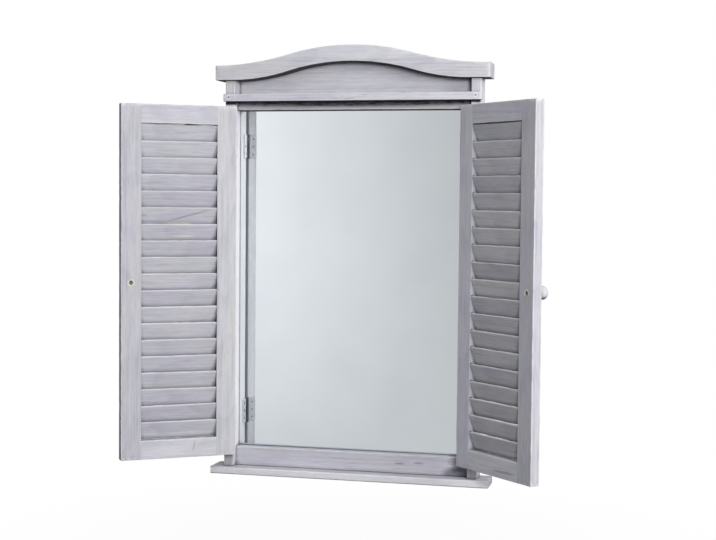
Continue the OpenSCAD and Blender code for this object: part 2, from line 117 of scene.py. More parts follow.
SAME = 0.01 * MM         # two places nearer than this are one
WELD = 0.001 * MM        # and two vertices nearer than this
FLAT = 0.3               # faces that meet at less than this are one flat face, in degrees
SMOOTH = 35              # faces that meet at less than this are shaded as one, in degrees
SHARP = 50               # an arris is at least this sharp, in degrees
LONG_EDGE = 40 * MM      # an edge at least this long is an arris of the member
ARCH_EDGE = 3 * MM       # and at least this long on the crown, whose curve has short edges
EASE = 0.7 * MM          # radius of an eased arris
WEAR_STEP = 2 * MM       # distance between the points that mark where wear starts
WEAR_REACH = 3.5 * MM    # how far wear runs in from an arris
CREST_REACH = 5.0 * MM   # and from a slat's crest
CREST_BANDS = mm(2.2, 5.0)   # depths below a slat's crest at which its mesh is cut
ARRIS_BANDS = mm(2.2, 4.5)   # distances from a member's sides at which its mesh is cut
STEP_ALONG = 9 * MM      # size of the mesh along the grain
STEP_ACROSS = 7 * MM     # and across it

CHIP = 0.35 * MM         # depth of the dents along an arris
CHIP_SCALE = 160         # how close they lie, per metre
CHIP_FROM = 0.05         # share of the noise that leaves the arris whole
FACE_WAVE = 0.04 * MM    # how far a face wanders
FACE_SCALE = 28
CREST_WAVE = 0.5 * MM    # how far a slat's crest wanders
CREST_SCALE = 34
HEART_SHIFT = 22 * MM    # how far the tree's heart wanders from member to member
MEMBER_APART = 1.7       # how far along the grain two members are cut apart, in metres
SLAT_APART = 0.61        # and two slats
SLAT_TURN = 0.22         # how far a slat sits out of level, in degrees
SLAT_LEAN = 1.1          # how far its lean differs from the others', in degrees
SLAT_TINT = 0.25         # how far its hue differs from the others'
SLAT_SHADE = 0.9         # and its tone


# ------------------------------------------------------------------ frames of the shutters

def shutter_place(side):
    """The frame in which a shutter is drawn closed: origin on its hinge axis, X across it."""
    joint = next(j for j in frame["joints"] if j["child"] == side + "_shutter")
    x, y, _ = joint["pos_m"]
    angle = math.radians(joint["range_deg"][0]) * -joint["axis"][2]
    return Matrix.Translation((x, y, 0)) @ Matrix.Rotation(angle, 4, "Z")


PLACES = {side: shutter_place(side) for side in SIDES}


# ------------------------------------------------------------------ meshes

def node_mesh(node, place):
    """A node's solid in the frame of its member, with its flat faces whole."""
    bm = bmesh.new()
    bm.from_mesh(frame["nodes"][node].data)
    bm.transform(place.inverted())
    bmesh.ops.remove_doubles(bm, verts=bm.verts, dist=WELD)
    bmesh.ops.dissolve_limit(bm, angle_limit=math.radians(FLAT), verts=bm.verts, edges=bm.edges)
    bm.normal_update()
    return bm


def islands(bm):
    """The separate solids of a mesh, each as a list of vertices."""
    bm.verts.index_update()
    left, found = set(bm.verts), []
    for seed in list(bm.verts):
        if seed not in left:
            continue
        left.discard(seed)
        group, queue = [seed], [seed]
        while queue:
            for e in queue.pop().link_edges:
                for v in e.verts:
                    if v in left:
                        left.discard(v)
                        group.append(v)
                        queue.append(v)
        found.append(group)
    return found


def box_of(verts):
    """The lowest and the highest corner of the box round some vertices."""
    points = [v.co for v in verts]
    lo = Vector([min(p[i] for p in points) for i in range(3)])
    hi = Vector([max(p[i] for p in points) for i in range(3)])
    return lo, hi


def box_of_node(node):
    lo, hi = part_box(node)
    return Vector(lo), Vector(hi)


def is_arris(edge, lo, hi, shortest, butts):
    """True for a member's long outer corners and the corners of its ends, apart from those at
    the X values in butts, where another member lies flush against it."""
    if len(edge.link_faces) != 2 or edge.calc_face_angle_signed(0) < math.radians(SHARP):
        return False
    a, b = edge.verts[0].co, edge.verts[1].co

    def lies_at(axis, value):
        return abs(a[axis] - value) < SAME and abs(b[axis] - value) < SAME
    if any(lies_at(0, x) for x in butts):
        return False
    if edge.calc_length() >= shortest:
        return True
    return sum(lies_at(i, corner[i]) for i in range(3) for corner in (lo, hi)) >= 2


def line_points(a, b):
    count = max(1, int((b - a).length / WEAR_STEP))
    return [a.lerp(b, i / count) for i in range(count + 1)]


def slice_across(bm, axis, cuts, part=None):
    """Cuts the whole mesh, or the solid that the vertices of part belong to, across an axis."""
    normal = Vector((0, 0, 0))
    normal[axis] = 1
    for at in cuts:
        geometry = bm.verts[:] + bm.edges[:] + bm.faces[:]
        if part:
            edges = sorted({e for v in part for e in v.link_edges}, key=lambda e: e.index)
            faces = sorted({f for v in part for f in v.link_faces}, key=lambda f: f.index)
            geometry = part + edges + faces
        made = bmesh.ops.bisect_plane(bm, geom=geometry, plane_co=normal * at, plane_no=normal,
                                      dist=SAME)
        if part:
            part = part + [v for v in made["geom_cut"] if isinstance(v, bmesh.types.BMVert)]


def cuts_along(lo, hi, step):
    """The places of even cuts between lo and hi, about a step apart."""
    count = max(1, round((hi - lo) / step))
    return [lo + (hi - lo) * i / count for i in range(1, count)]


def finish_mesh(bm, name):
    mesh = bpy.data.meshes.new(name)
    bm.to_mesh(mesh)
    bm.free()
    mesh.shade_smooth()
    mesh.set_sharp_from_angle(angle=math.radians(SMOOTH))
    return mesh


def finish_layers(bm):
    """The vertex attributes that the limewash reads: grain (in metres, X along the grain, the
    rest from the member's middle), edge (1 on an arris), and the tone and hue of the wash."""
    layers = bm.verts.layers
    grain = layers.float_vector.new("grain")
    return grain, *(layers.float.new(name) for name in ("edge", "tone", "hue"))


def add_piece(mesh, name, place, body, material, nodes):
    """Adds a piece drawn in the frame place, with that place worked into its mesh."""
    mesh.transform(place)
    obj = bpy.data.objects.new(name, mesh)
    bpy.context.scene.collection.objects.link(obj)
    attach(obj, body)
    mesh.materials.append(material)
    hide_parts(*nodes)


def wear_lines(bm, arrises, rounded):
    """Points along the arrises, or along the two crests of each rounded bar."""
    if not rounded:
        return [p for e in arrises for p in line_points(e.verts[0].co, e.verts[1].co)]
    points = []
    for group in islands(bm):
        lo, hi = box_of(group)
        top = max(group, key=lambda v: v.co.z).co
        for y, z in ((top.y, top.z), (lo.y + hi.y - top.y, lo.z + hi.z - top.z)):
            points += line_points(Vector((lo.x, y, z)), Vector((hi.x, y, z)))
    return points


def slice_member(bm, grain_axis, rounded):
    """Cuts a member finely enough for the attributes and the dents along its arrises."""
    lo, hi = box_of(bm.verts)
    slice_across(bm, grain_axis, cuts_along(lo[grain_axis], hi[grain_axis], STEP_ALONG))
    if rounded:
        for group in islands(bm):
            low, high = box_of(group)
            cuts = [low.z + d for d in CREST_BANDS] + [high.z - d for d in CREST_BANDS]
            slice_across(bm, 2, cuts, group)
        return
    rim = ARRIS_BANDS[-1]
    for axis in range(3):
        if axis != grain_axis:
            inner = cuts_along(lo[axis] + rim, hi[axis] - rim, STEP_ACROSS)
            ends = [lo[axis] + d for d in ARRIS_BANDS] + [hi[axis] - d for d in ARRIS_BANDS]
            slice_across(bm, axis, ends + inner)


CHANCE_STEP = 7.31                        # seeds are this far apart in the noise
CHANCE_FROM = Vector((0.37, 0.71, 0.13))  # off the noise's own grid, where it is zero


def chance(*seeds):
    """A number from -1 to 1 that depends only on the seeds, of which it takes two or three."""
    return noise.noise(Vector((seeds + (0.5, 0.5, 0.5))[:3]) * CHANCE_STEP + CHANCE_FROM)


def flush_joints(node, lo, hi):
    """The X values, in a closed shutter's frame, at which a rail or stile meets the other."""
    if node.endswith(("_top_rail", "_bottom_rail")):
        return (lo.x, hi.x)
    if node.endswith("_stile"):
        side = node.split("_")[0]
        slats = node_mesh(side + "_slats", PLACES[side])
        low, high = box_of(slats.verts)
        slats.free()
        return (min((lo.x, hi.x), key=lambda x: abs(x - (low.x + high.x) / 2)),)
    return ()


def set_out_of_true(slat, middle, seed, k):
    """Sets a slat a little out of level, and its lean a little off the others'."""
    turn = Matrix.Rotation(math.radians(SLAT_TURN * 2 * chance(k, seed, 5.0)), 4, "Y")
    lean = Matrix.Rotation(math.radians(SLAT_LEAN * 2 * chance(k, seed, 9.0)), 4, "X")
    moved = Matrix.Translation(middle) @ turn @ lean @ Matrix.Translation(-middle)
    for v in slat:
        v.co = moved @ v.co


def wear_down(bm, grain, edge, rounded):
    """Sinks every face in shallow waves, and the arrises or crests further."""
    bm.normal_update()
    for v in bm.verts:
        dent = max(0.0, noise.noise(v[grain] * CHIP_SCALE) - CHIP_FROM) * CHIP * 2
        wave = (noise.noise(v[grain] * FACE_SCALE) + 1) * FACE_WAVE
        if rounded:
            along = Vector((v[grain].x * CREST_SCALE, 0, 0))
            wave += (noise.noise(along) + 1) * CREST_WAVE * v[edge]
        v.co -= v.normal * (wave + dent * v[edge] ** 2)


def weathered(node, grain_axis, place, wash, seed, shortest=LONG_EDGE):
    """A member's solid with eased and dented arrises, and the attributes its finish reads."""
    bm = node_mesh(node, place)
    lo, hi = box_of(bm.verts)
    rounded = node.endswith("slats")
    butts = flush_joints(node, lo, hi) if place != HERE else ()
    arrises = [] if rounded else [e for e in bm.edges if is_arris(e, lo, hi, shortest, butts)]
    lines = wear_lines(bm, arrises, rounded)
    if arrises:
        bmesh.ops.bevel(bm, geom=arrises, offset=EASE, segments=2, profile=0.5, affect="EDGES")
    slice_member(bm, grain_axis, rounded)
    bm.normal_update()

    tree = KDTree(len(lines))
    for i, p in enumerate(lines):
        tree.insert(p, i)
    tree.balance()
    grain, edge, tone, tint = finish_layers(bm)
    reach = CREST_REACH if rounded else WEAR_REACH
    hue, darkness = wash
    across, up = [i for i in range(3) if i != grain_axis]
    for k, group in enumerate(islands(bm)):
        low, high = box_of(group)
        middle = (low + high) / 2
        along = seed * MEMBER_APART + k * SLAT_APART
        shift = Vector((along, HEART_SHIFT * chance(seed, k), HEART_SHIFT * chance(k, seed)))
        shade = chance(seed, k, 3.0) if rounded else 0.0
        for v in group:
            off = v.co - middle
            v[grain] = Vector((v.co[grain_axis], off[across], off[up])) + shift
            v[edge] = max(0.0, 1 - tree.find(v.co)[2] / reach)
            v[tint] = hue + SLAT_TINT * shade
            v[tone] = darkness + SLAT_SHADE * shade
        if rounded:
            set_out_of_true(group, middle, seed, k)
    wear_down(bm, grain, edge, rounded)
    return finish_mesh(bm, node)


# ------------------------------------------------------------------ shaders

def srgb(r, g, b):
    """A colour given as it shows on screen, 0 to 255, made linear by the sRGB curve."""
    def linear(c):
        c /= 255
        return c / 12.92 if c <= 0.04045 else ((c + 0.055) / 1.055) ** 2.4
    return (linear(r), linear(g), linear(b), 1.0)


SHADE_BLUE = 1.01        # how much less a shade darkens the blue
MOST = (0.3, 0.7)        # the values between which most of a noise lies


class Nodes:
    """Short calls that add shader nodes to a tree and join them."""

    def __init__(self, tree):
        self.tree = tree

    def put(self, socket, value):
        if isinstance(value, bpy.types.NodeSocket):
            self.tree.links.new(value, socket)
        else:
            socket.default_value = value

    def add(self, kind, inputs=(), **settings):
        node = self.tree.nodes.new(kind)
        for key, value in settings.items():
            setattr(node, key, value)
        for key, value in dict(inputs).items():
            self.put(node.inputs[key], value)
        return node

    def scaled(self, vector, scale, shift=(0, 0, 0)):
        """The vector, multiplied by scale and moved by shift."""
        node = self.add("ShaderNodeMapping", {"Vector": vector, "Scale": scale, "Location": shift})
        return node.outputs[0]

    def noise(self, vector, scale, detail=2.0, roughness=0.5):
        return self.add("ShaderNodeTexNoise", {
            "Vector": vector, "Scale": scale, "Detail": detail, "Roughness": roughness,
        }).outputs["Fac"]

    def grained(self, grain, along, across, shift=(0, 0, 0), **settings):
        """Noise with one scale along the grain and another across it, both per metre."""
        return self.noise(self.scaled(grain, (along, across, across), shift), 1.0, **settings)

    def ramp(self, value, low, high, out_low=0.0, out_high=1.0):
        """The value, from low..high to out_low..out_high, eased at both ends."""
        node = self.add("ShaderNodeMapRange", {
            "Value": value, "From Min": low, "From Max": high, "To Min": out_low, "To Max": out_high,
        }, interpolation_type="SMOOTHSTEP")
        return node.outputs[0]

    def math(self, operation, a, b=0.0):
        return self.add("ShaderNodeMath", {0: a, 1: b}, operation=operation).outputs[0]

    def vector(self, operation, a, b=(0, 0, 0)):
        node = self.add("ShaderNodeVectorMath", {0: a, 1: b}, operation=operation)
        return node.outputs["Value" if operation == "LENGTH" else "Vector"]

    def mix(self, factor, a, b, blend="MIX"):
        """A blend of two colours; 0, 6, 7 and 2 are the node's sockets for colours."""
        node = self.add("ShaderNodeMix", {0: factor, 6: a, 7: b}, data_type="RGBA", blend_type=blend)
        return node.outputs[2]

    def shade(self, colour, amount, factor):
        """The colour, multiplied by factor where amount is 1."""
        return self.mix(amount, colour, (factor, factor, factor * SHADE_BLUE, 1), "MULTIPLY")

    def mix_shaders(self, factor, a, b):
        return self.add("ShaderNodeMixShader", {0: factor, 1: a, 2: b}).outputs[0]

    def parts(self, vector):
        """The vector's X, Y and Z."""
        return self.add("ShaderNodeSeparateXYZ", {0: vector}).outputs


class Shader(Nodes):
    """A material with a Principled shader."""

    def __init__(self, name, **sockets):
        self.material = bpy.data.materials.new(name)
        self.material.use_nodes = True
        super().__init__(self.material.node_tree)
        self.bsdf = self.tree.nodes["Principled BSDF"]
        for key, value in sockets.items():
            self.set(key.replace("_", " "), value)

    def set(self, socket, value):
        found = next(s for s in self.bsdf.inputs if s.name.lower() == socket.lower())
        self.put(found, value)

    def attribute(self, name, output="Fac"):
        return self.add("ShaderNodeAttribute", attribute_name=name).outputs[output]

    def place(self):
        """The point in the part's own frame."""
        return self.add("ShaderNodeTexCoord").outputs["Object"]

    def facing_down(self):
        """How far the surface faces down, from 0 to 1."""
        normal = self.add("ShaderNodeNewGeometry").outputs["Normal"]
        return self.math("MULTIPLY", self.parts(normal)["Z"], -1.0)

    def bump(self, height, strength, distance):
        node = self.add("ShaderNodeBump", {"Height": height, "Strength": strength,
                                           "Distance": distance})
        self.set("Normal", node.outputs[0])


HEART = mm(0, -58, 31)   # where the heart of the tree lies, seen from a member's middle
RING = 5.5 * MM          # width of a year's ring
RING_WANDER = 2.2        # how many rings' widths a ring wanders
RING_TAPER = 0.055       # how much less a ring's line moves along the grain than across it
LATE_WOOD = (0.45, 0.85)     # where in a ring its dark line sets in
RING_END = (1.0, 0.9)        # and where it ends, sharply


def year_rings(s, grain):
    """Late wood: 1 on the dark line of each ring, which runs round the tree's heart."""
    wander = s.grained(grain, 4, 16, detail=2)
    off_heart = s.vector("SUBTRACT", s.scaled(grain, (RING_TAPER, 1, 1)), HEART)
    widths = s.math("DIVIDE", s.vector("LENGTH", off_heart), RING)
    turns = s.math("ADD", widths, s.math("MULTIPLY", wander, RING_WANDER))
    through = s.math("FRACT", turns)
    return s.math("MULTIPLY", s.ramp(through, *LATE_WOOD), s.ramp(through, *RING_END))


MARK_CORE = 0.5          # share of a mark's size within which it is full


def mark(s, side, centre, tilt, size):
    """A soft spot, 1 in its middle. It is placed in the frame of a closed shutter, or of the
    whole part where side is None, and tilt turns it about that frame's Y."""
    where = s.place()
    if side:
        where = s.add("ShaderNodeMapping", {
            "Vector": where, "Location": PLACES[side].to_translation(),
            "Rotation": PLACES[side].to_euler(),
        }, vector_type="TEXTURE").outputs[0]
    where = s.add("ShaderNodeMapping", {
        "Vector": where, "Location": centre, "Rotation": (0, math.radians(tilt), 0), "Scale": size,
    }, vector_type="TEXTURE").outputs[0]
    return s.ramp(s.vector("LENGTH", where), 1.0, MARK_CORE)


CREVICE = 9 * MM         # within this distance of another face, the wash is darkened as painted shade
TONE_DARKEST = 0.84      # what the darkest tone multiplies the wash by
# Each layer of the wash: the values of its noise at which it starts and is full, and what it
# then multiplies the colour by
PATCH = (0.35, 0.7, 0.965)
MOTTLE = (0.35, 0.7, 0.93)
STREAK = (0.40, 0.72, 0.865)
FIBRE = (0.5, 0.8, 0.83)
CREVICE_SHADE = (0.85, 0.3, 0.38)        # the same for the share of open sky that a point sees: painted shade in crevices
UNDERSIDE_SHADE = (0.4, 0.9, 0.09)     # and for how far a face looks down: painted shade on undersides
RINGS = 0.93             # what the rings' dark lines multiply the colour by
# From and to which value of a noise something changes, and from and to what
HUE_DRIFT = (0.3, 0.7, -0.2, 0.2)        # the hue, from patch to patch
RING_FADE = (0.3, 0.6, 0.2, 1.0)         # how strongly the rings show, from patch to patch
MARK_GAPS = (0.3, 0.6, 1.0, 0.75)        # and a mark, with the mottling
ROUGHNESS = (0.2, 0.8, 0.58, 0.74)       # the roughness, with the streaks
WORN_EDGE = (0.3, 0.85)          # where wear sets in and is full, on the way to an arris
WORN_FROM, SLAT_WEAR_AND_SHEEN_FROM = 0.36, 0.28   # values of its noise at which a worn spot starts; lower on the slats, whose crests are also lightened as painted highlight
WORN_SPAN = 0.16                 # and how much further it is full
BARED = (0.60, 0.68)             # where wear goes through to the wood
SCRATCH_LINE = (0.68, 0.78)      # a scratch's own width
SCRATCH_ZONE = (0.52, 0.68)      # and where scratches lie
WORN = 0.85              # share of the wash that is gone where an arris is worn
# Colours of the worn wash; on the slats paler, a painted highlight along their crests as well as wear
WORN_WASH, SLAT_WEAR_AND_SHEEN = srgb(228, 227, 229), srgb(240, 240, 243)
WORN_WOOD = srgb(214, 203, 186)
SCRATCH = srgb(120, 116, 122)
SCRATCH_SHARE = 0.5      # how strongly a scratch shows
FIBRE_RISE, RING_RISE, SCRATCH_RISE = 0.6, -0.25, -0.8   # heights in the relief, as shares
RELIEF = 0.22 * MM       # of this
RELIEF_SHARE = 0.3       # how strongly the relief shows


def limewash(name, neutral, lilac, marks, wear_and_sheen=WORN_WASH, wear_and_sheen_from=WORN_FROM):
    """Limewashed wood: fibres and rings along the grain, worn arrises (on the slats' crests also a
    painted highlight), marks, and painted shade in crevices and on undersides."""
    s = Shader(name, specular_ior_level=0.12)
    grain = s.attribute("grain", "Vector")
    edge = s.attribute("edge")

    fibre = s.grained(grain, 22, 1100, detail=3)
    streak = s.grained(grain, 9, 330, detail=3, roughness=0.6)
    mottle = s.grained(grain, 55, 260, (3, 1, 8), detail=3, roughness=0.6)
    patch = s.grained(grain, 5, 30, (4, 0, 2), detail=2)
    rings = year_rings(s, grain)

    hue = s.math("ADD", s.attribute("hue"), s.ramp(patch, *HUE_DRIFT))
    colour = s.mix(s.ramp(hue, 0.0, 1.0), neutral, lilac)

    colour = s.shade(colour, s.attribute("tone"), TONE_DARKEST)
    for layer, (low, high, factor) in (
        (patch, PATCH), (mottle, MOTTLE), (streak, STREAK), (fibre, FIBRE),
    ):
        colour = s.shade(colour, s.ramp(layer, low, high), factor)
    lines = s.math("MULTIPLY", rings, s.ramp(patch, *RING_FADE))
    colour = s.shade(colour, lines, RINGS)

    rubbed = s.grained(grain, 40, 200, detail=3, roughness=0.65)
    spots = s.ramp(rubbed, wear_and_sheen_from, wear_and_sheen_from + WORN_SPAN)
    # On the slats this lightening of the crests is partly painted highlight.
    worn_and_sheen = s.math("MULTIPLY", s.ramp(edge, *WORN_EDGE), spots)
    raw = s.mix(s.ramp(s.noise(grain, 34.0), *BARED), wear_and_sheen, WORN_WOOD)
    colour = s.mix(s.math("MULTIPLY", worn_and_sheen, WORN), colour, raw)

    scratch = s.grained(grain, 22, 420, (5, 3, 1), detail=1)
    where = s.grained(grain, 4, 12, (2, 7, 4), detail=1)
    scratches = s.math("MULTIPLY", s.ramp(scratch, *SCRATCH_LINE), s.ramp(where, *SCRATCH_ZONE))
    colour = s.mix(s.math("MULTIPLY", scratches, SCRATCH_SHARE), colour, SCRATCH)
    # The marks are stains and wear, and also painted shadows and painted light.
    for side, centre, tilt, size, mark_colour, strength in marks:
        amount = s.math("MULTIPLY", mark(s, side, centre, tilt, size),
                        s.ramp(mottle, *MARK_GAPS))
        colour = s.mix(s.math("MULTIPLY", amount, strength), colour, mark_colour)

    # Painted shade: the wash darkens in crevices and on faces that look down.
    open_sky = s.add("ShaderNodeAmbientOcclusion", {"Distance": CREVICE}, samples=6).outputs["AO"]
    for layer, (low, high, factor) in ((open_sky, CREVICE_SHADE), (s.facing_down(), UNDERSIDE_SHADE)):
        colour = s.shade(colour, s.ramp(layer, low, high), factor)
    s.set("Base Color", colour)

    s.set("Roughness", s.ramp(streak, *ROUGHNESS))
    height = s.math("MULTIPLY", fibre, FIBRE_RISE)
    for layer, rise in ((rings, RING_RISE), (scratches, SCRATCH_RISE)):
        height = s.math("ADD", height, s.math("MULTIPLY", layer, rise))
    s.bump(height, RELIEF_SHARE, RELIEF)
    return s.material


def bare_wood(name, light, dark, stretch):
    """Unpainted wood; stretch is the scale of its fibres along X, Y and Z, per metre."""
    s = Shader(name)
    fibre = s.noise(s.scaled(s.place(), stretch), 1.0, detail=4)
    s.set("Base Color", s.mix(s.ramp(fibre, *MOST), light, dark))
    s.set("Roughness", s.ramp(fibre, *MOST, 0.6, 0.8))
    s.bump(fibre, 0.3, 0.2 * MM)
    return s.material


BOARD_DARK, BOARD_PALE = srgb(150, 118, 88), srgb(184, 152, 118)
BOARD_CLOUD = srgb(132, 100, 74)


def fibreboard(name):
    """Hard board: pressed flecks, and a faint cloud over them."""
    s = Shader(name)
    fleck = s.noise(s.place(), 420, detail=4, roughness=0.7)
    cloud = s.noise(s.place(), 14, detail=2)
    colour = s.mix(s.ramp(fleck, 0.35, 0.7), BOARD_DARK, BOARD_PALE)
    s.set("Base Color", s.mix(s.ramp(cloud, 0.35, 0.7, 0.0, 0.5), colour, BOARD_CLOUD))
    s.set("Roughness", s.ramp(fleck, *MOST, 0.55, 0.75))
    s.bump(fleck, 0.3, 0.15 * MM)
    return s.material


STEEL_SPOT = srgb(96, 92, 88)


def plated_steel(name, bright, dull):
    """Zinc-plated steel: fine brushing, cloudy dulling, a few darker spots."""
    s = Shader(name, metallic=1.0)
    brush = s.noise(s.scaled(s.place(), (300, 300, 4000)), 1.0, detail=2)
    cloud = s.noise(s.place(), 90, detail=3)
    spots = s.noise(s.place(), 700, detail=2)
    colour = s.mix(s.ramp(cloud, 0.35, 0.7), bright, dull)
    s.set("Base Color", s.mix(s.ramp(spots, 0.66, 0.74, 0.0, 0.6), colour, STEEL_SPOT))
    s.set("Roughness", s.ramp(cloud, *MOST, 0.3, 0.5))
    s.bump(brush, 0.15, 0.05 * MM)
    return s.material


KNUCKLE = mm(3.6, 2.6)   # distances from the axis at which bare metal starts and is full
LEAF_PALE, LEAF_DARK = srgb(216, 216, 221), srgb(200, 200, 207)
LEAF_BARE = srgb(96, 97, 104)


def hinge_leaf(name):
    """A leaf painted over with the wash, its knuckles rubbed back to the dull metal."""
    s = Shader(name, specular_ior_level=0.3)
    patch = s.noise(s.place(), 260, detail=3)
    x, y, _ = s.parts(s.place())
    axis_x, axis_y, _ = next(j for j in frame["joints"] if j["child"] == "right_shutter")["pos_m"]
    flat = s.add("ShaderNodeCombineXYZ", {
        0: s.math("SUBTRACT", s.math("ABSOLUTE", x), axis_x), 1: s.math("SUBTRACT", y, axis_y),
    }).outputs[0]
    knuckle = s.ramp(s.vector("LENGTH", flat), *KNUCKLE)
    wash = s.mix(s.ramp(patch, 0.35, 0.65), LEAF_PALE, LEAF_DARK)
    s.set("Base Color", s.mix(knuckle, wash, LEAF_BARE))
    s.set("Metallic", s.math("MULTIPLY", knuckle, 0.8))
    s.set("Roughness", s.ramp(patch, *MOST, 0.45, 0.65))
    s.bump(patch, 0.3, 0.08 * MM)
    return s.material


NAIL_WASH, NAIL_BARE = srgb(214, 214, 221), srgb(118, 118, 126)


def washed_steel(name):
    """Nail heads that the limewash has gone over, rubbed through in places."""
    s = Shader(name, specular_ior_level=0.4)
    patch = s.noise(s.place(), 900, detail=3)
    s.set("Base Color", s.mix(s.ramp(patch, 0.42, 0.56), NAIL_WASH, NAIL_BARE))
    s.set("Roughness", s.ramp(patch, 0.5, 0.62, 0.55, 0.35))
    s.bump(patch, 0.4, 0.1 * MM)
    return s.material


SILVER, SILVER_HAZED = srgb(240, 243, 243), srgb(234, 238, 239)
GLASS_RIM = 1.6 * MM     # width of the painted shade line that stands for the glass's own depth at its border
RIM_FULL = 0.7           # share of that width at which it is darkest
RIM_SHADE = srgb(150, 152, 160)
RIM_SIDES, RIM_FOOT, RIM_HEAD = 0.3, 0.7, 0.4   # how strongly it shows


def silvered_glass(name):
    """A clear mirror with the faintest haze, and a painted shade line along the wood that holds it."""
    s = Shader(name, metallic=1.0)
    haze = s.noise(s.place(), 9, detail=3)
    clear = s.mix(s.ramp(haze, 0.3, 0.8), SILVER, SILVER_HAZED)
    side = box_of_node("right_post")[0].x
    foot = box_of_node("bottom_rail")[1].z
    head = box_of_node("lintel")[0].z
    x, _, z = s.parts(s.place())
    full = RIM_FULL * GLASS_RIM
    # Painted shade along the glass's border, strongest at its foot.
    rim = s.ramp(s.math("ABSOLUTE", x), side - GLASS_RIM, side - full, 0.0, RIM_SIDES)
    rim = s.math("MAXIMUM", rim, s.ramp(z, foot + GLASS_RIM, foot + full, 0.0, RIM_FOOT))
    rim = s.math("MAXIMUM", rim, s.ramp(z, head - GLASS_RIM, head - full, 0.0, RIM_HEAD))
    s.set("Base Color", s.mix(rim, clear, RIM_SHADE))
    s.set("Roughness", s.ramp(haze, 0.4, 0.8, 0.0, 0.02))
    return s.material


# ------------------------------------------------------------------ screws and knobs

def lathe(bm, profile, steps, place=HERE):
    """Turns a profile of (radius, height) points round Z, from one end on the axis to the other."""
    rings = []
    for radius, height in profile:
        ring = []
        for i in range(steps if radius > 0 else 1):
            a = 2 * math.pi * i / steps
            point = Vector((radius * math.cos(a), radius * math.sin(a), height))
            ring.append(bm.verts.new(place @ point))
        rings.append(ring)
    for low, high in zip(rings, rings[1:]):
        for i in range(steps):
            j = (i + 1) % steps
            quad = [low[i % len(low)], low[j % len(low)], high[j % len(high)], high[i % len(high)]]
            bm.faces.new(list(dict.fromkeys(quad)))


KNOB_FOOT_R = 7.5 * MM
KNOB_FOOT_H = 2.0 * MM
KNOB_RIM = mm(0.6, 0.7)  # how far the foot's rim is eased, inwards and downwards
KNOB_NECK_IN = 0.9 * MM  # how far inside the foot's radius the neck starts
KNOB_NECK_R = 5.2 * MM
KNOB_HOLLOW = 0.7        # below 1, the hollow of the neck is broad; above 1, it is narrow
KNOB_SQUASH = 0.80       # how long its ball is as a share of its width
KNOB_COLLAR = math.radians(-58)   # where the ball starts above the neck, seen from its middle
KNOB_NECK_STEPS = 10
KNOB_BALL_STEPS = 24
KNOB_STEPS = 48          # and round the knob
KNOB_HUE, KNOB_TONE = 0.5, 0.2
KNOB_WEAR = 0.6          # how worn the top of its ball is
KNOB_WEAR_REACH = 4 * MM
KNOB_GRAIN, KNOB_GRAIN_STEP = 3.1, 9   # places of the knobs in the wood, so that they differ


def knob_profile(ball_r, length):
    """A foot with an eased rim, a hollow neck, and a flattened ball."""
    foot_r, foot_h = KNOB_FOOT_R, KNOB_FOOT_H
    ball_z = length - ball_r * KNOB_SQUASH

    def on_ball(angle):
        return ball_r * math.cos(angle), ball_z + KNOB_SQUASH * ball_r * math.sin(angle)
    collar_r, collar_z = on_ball(KNOB_COLLAR)
    eased_r, eased_h = foot_r - KNOB_RIM[0], foot_h - KNOB_RIM[1]
    points = [(0, 0), (foot_r, 0), (foot_r, eased_h), (eased_r, foot_h)]
    for i in range(1, KNOB_NECK_STEPS):
        t = i / KNOB_NECK_STEPS
        ease = t * t * (3 - 2 * t)
        radius = (foot_r - KNOB_NECK_IN) * (1 - ease) + collar_r * ease
        radius -= (radius - KNOB_NECK_R) * math.sin(math.pi * t) ** KNOB_HOLLOW
        points.append((radius, foot_h + (collar_z - foot_h) * t))
    for i in range(KNOB_BALL_STEPS):
        points.append(on_ball(KNOB_COLLAR + (math.pi / 2 - KNOB_COLLAR) * i / KNOB_BALL_STEPS))
    return points + [(0, length)]


def make_knob(side):
    node = side + "_knob"
    place = PLACES[side]
    bm = node_mesh(node, place)
    lo, hi = box_of(bm.verts)
    bm.free()
    radius = (hi.z - lo.z) / 2
    length = hi.y - lo.y
    centre = Vector(((lo.x + hi.x) / 2, hi.y, (lo.z + hi.z) / 2))
    turn = Matrix.Translation(centre) @ Matrix.Rotation(math.radians(90), 4, "X")
    bm = bmesh.new()
    lathe(bm, knob_profile(radius, length), KNOB_STEPS)
    bmesh.ops.recalc_face_normals(bm, faces=bm.faces)
    grain, edge, tone, tint = finish_layers(bm)
    shift = Vector((KNOB_GRAIN + lo.x * KNOB_GRAIN_STEP, 0, 0))
    for v in bm.verts:
        v[grain] = Vector((v.co.z, v.co.x, v.co.y)) + shift
        v[edge] = max(0.0, 1 - abs(v.co.z - length) / KNOB_WEAR_REACH) * KNOB_WEAR
        v[tint] = KNOB_HUE
        v[tone] = KNOB_TONE
    add_piece(finish_mesh(bm, node), node + "_turned", place @ turn, side + "_shutter",
              MATERIALS["painted_wood"], [node])


# A screw's measures are shares of its head's radius
HEAD_DEPTH = 0.5
HEAD_RIM = 0.06          # how far its rim is eased
HEAD_FOOT = 0.45         # its radius at the foot of the cone
HEAD_STEPS = 32
ARM_DEEP, ARM_WIDE = 0.18, 0.62  # radius of the recess's arms at its bottom and its mouth
ARM_LONG = 0.9                   # length of the cone that cuts them
ARM_HALF = 0.13                  # half their width
ARM_TURN = 20                    # how far the cross is turned, in degrees
SHANK_R = 0.48
SHANK_TOP = 0.3          # how far below the face the shank starts, inside the head
SHANK_STEPS = 16
POINT_FROM = 0.85        # share of the length at which the point starts
SPIN = 1.1               # turn from one screw to the next, in radians
HEAD_SUNK = 0.1 * MM     # how far a screw's face lies below the surface


